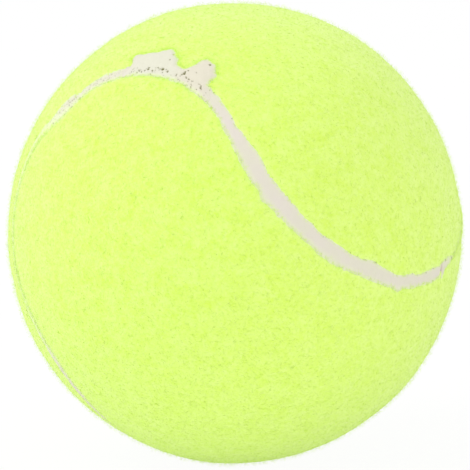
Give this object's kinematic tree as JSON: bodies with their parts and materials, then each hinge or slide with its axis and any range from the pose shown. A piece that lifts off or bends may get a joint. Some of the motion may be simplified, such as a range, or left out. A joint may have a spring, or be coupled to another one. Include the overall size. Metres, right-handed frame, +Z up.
{
  "type": "tennis ball",
  "caption": "Hollow rubber ball in two cemented halves, covered by two dumbbell felt panels with a recessed rubber seam between them.",
  "frame": {"origin": "centre of the ball", "axes": "+Z up and -Y towards the viewer of the picture; the seam is turned to its attitude in the picture"},
  "size_m": [0.0666, 0.0666, 0.0666],
  "materials": {
    "core_rubber": "moulded rubber, matt, dark grey",
    "rubber_cement": "cured rubber solution, satin, amber grey",
    "backing_cloth": "rubberised cloth back, matt",
    "felt": "napped fluorescent yellow-green felt, matt and fuzzy",
    "seam_rubber": "pale pinkish-grey rubber, matt"
  },
  "bodies": {
    "root": {"core_half_upper": "core_rubber", "core_half_lower": "core_rubber", "core_joint_cement": "rubber_cement", "core_cement_coat": "rubber_cement", "panel_backing_a": "backing_cloth", "panel_backing_b": "backing_cloth", "felt_panel_a": "felt", "felt_panel_b": "felt", "seam_rubber": "seam_rubber", "seam_spill": "seam_rubber"}
  },
  "joints": []
}
